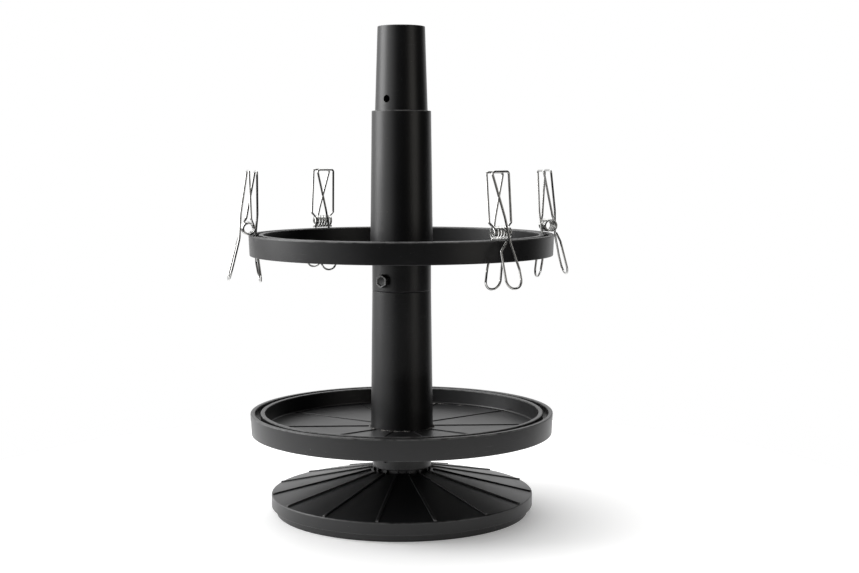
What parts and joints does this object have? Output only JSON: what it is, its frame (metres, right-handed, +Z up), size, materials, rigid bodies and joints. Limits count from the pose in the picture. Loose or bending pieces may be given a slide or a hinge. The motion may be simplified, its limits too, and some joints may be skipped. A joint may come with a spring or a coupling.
{
  "type": "bird feeder",
  "caption": "Free-standing bird feeder: stacking dished trays on a tapered plastic column over a ribbed round base, with sprung wire food clips on the rim.",
  "frame": {"origin": "centre of the base's foot ring, on the floor", "axes": "+Z up the column; the pictured front faces -Y and the right side is +X"},
  "size_m": [0.3384, 0.3, 0.478],
  "materials": {
    "black_plastic": "satin",
    "fastener_plastic": "satin",
    "clip_wire": "polished"
  },
  "bodies": {
    "base": {"base_shell": "black_plastic"},
    "tower": {"lower_column": "black_plastic", "lower_tray": "black_plastic", "lower_slot_ring": "black_plastic", "upper_column": "black_plastic", "upper_tray": "black_plastic", "upper_slot_ring": "black_plastic"},
    "lock_bolt": {"lock_bolt": "fastener_plastic"},
    "lock_nut": {"lock_nut": "fastener_plastic"},
    "clip_front": {"clip_front_coil": "clip_wire", "clip_front_inner_lever": "clip_wire"},
    "clip_front_jaw": {"clip_front_outer_lever": "clip_wire"},
    "clip_right": {"clip_right_coil": "clip_wire", "clip_right_inner_lever": "clip_wire"},
    "clip_right_jaw": {"clip_right_outer_lever": "clip_wire"},
    "clip_back": {"clip_back_coil": "clip_wire", "clip_back_inner_lever": "clip_wire"},
    "clip_back_jaw": {"clip_back_outer_lever": "clip_wire"},
    "clip_left": {"clip_left_coil": "clip_wire", "clip_left_inner_lever": "clip_wire"},
    "clip_left_jaw": {"clip_left_outer_lever": "clip_wire"}
  },
  "joints": [
    {"name": "tower_lift", "type": "slide", "parent": "base", "child": "tower", "axis": [0, 0, 1], "range_m": [0, 0.09]},
    {"name": "bolt_pull", "type": "slide", "parent": "tower", "child": "lock_bolt", "axis": [-0.5878, -0.809, 0], "range_m": [0, 0.07]},
    {"name": "nut_off", "type": "slide", "parent": "tower", "child": "lock_nut", "axis": [0.5878, 0.809, 0], "range_m": [0, 0.03]},
    {"name": "clip_front_along_rim", "type": "hinge", "parent": "tower", "child": "clip_front", "pos_m": [0, 0, 0.2831], "axis": [0, 0, 1], "range_deg": [-12, 10]},
    {"name": "clip_front_squeeze", "type": "hinge", "parent": "clip_front", "child": "clip_front_jaw", "pos_m": [0.08588, -0.12402, 0.2831], "axis": [0.8221, 0.5693, 0], "range_deg": [0, 14], "stiffness_Nm_per_rad": 0.6},
    {"name": "clip_right_along_rim", "type": "hinge", "parent": "tower", "child": "clip_right", "pos_m": [0, 0, 0.2831], "axis": [0, 0, 1], "range_deg": [-3, 18]},
    {"name": "clip_right_squeeze", "type": "hinge", "parent": "clip_right", "child": "clip_right_jaw", "pos_m": [0.14856, 0.02619, 0.2831], "axis": [-0.1736, 0.9848, 0], "range_deg": [0, 14], "stiffness_Nm_per_rad": 0.6},
    {"name": "clip_back_along_rim", "type": "hinge", "parent": "tower", "child": "clip_back", "pos_m": [0, 0, 0.2831], "axis": [0, 0, 1], "range_deg": [-7, 15]},
    {"name": "clip_back_squeeze", "type": "hinge", "parent": "clip_back", "child": "clip_back_jaw", "pos_m": [-0.08127, 0.12708, 0.2831], "axis": [-0.8425, -0.5388, 0], "range_deg": [0, 14], "stiffness_Nm_per_rad": 0.6},
    {"name": "clip_left_along_rim", "type": "hinge", "parent": "tower", "child": "clip_left", "pos_m": [0, 0, 0.2831], "axis": [0, 0, 1], "range_deg": [-3, 18]},
    {"name": "clip_left_squeeze", "type": "hinge", "parent": "clip_left", "child": "clip_left_jaw", "pos_m": [-0.14856, -0.02619, 0.2831], "axis": [0.1736, -0.9848, 0], "range_deg": [0, 14], "stiffness_Nm_per_rad": 0.6}
  ]
}
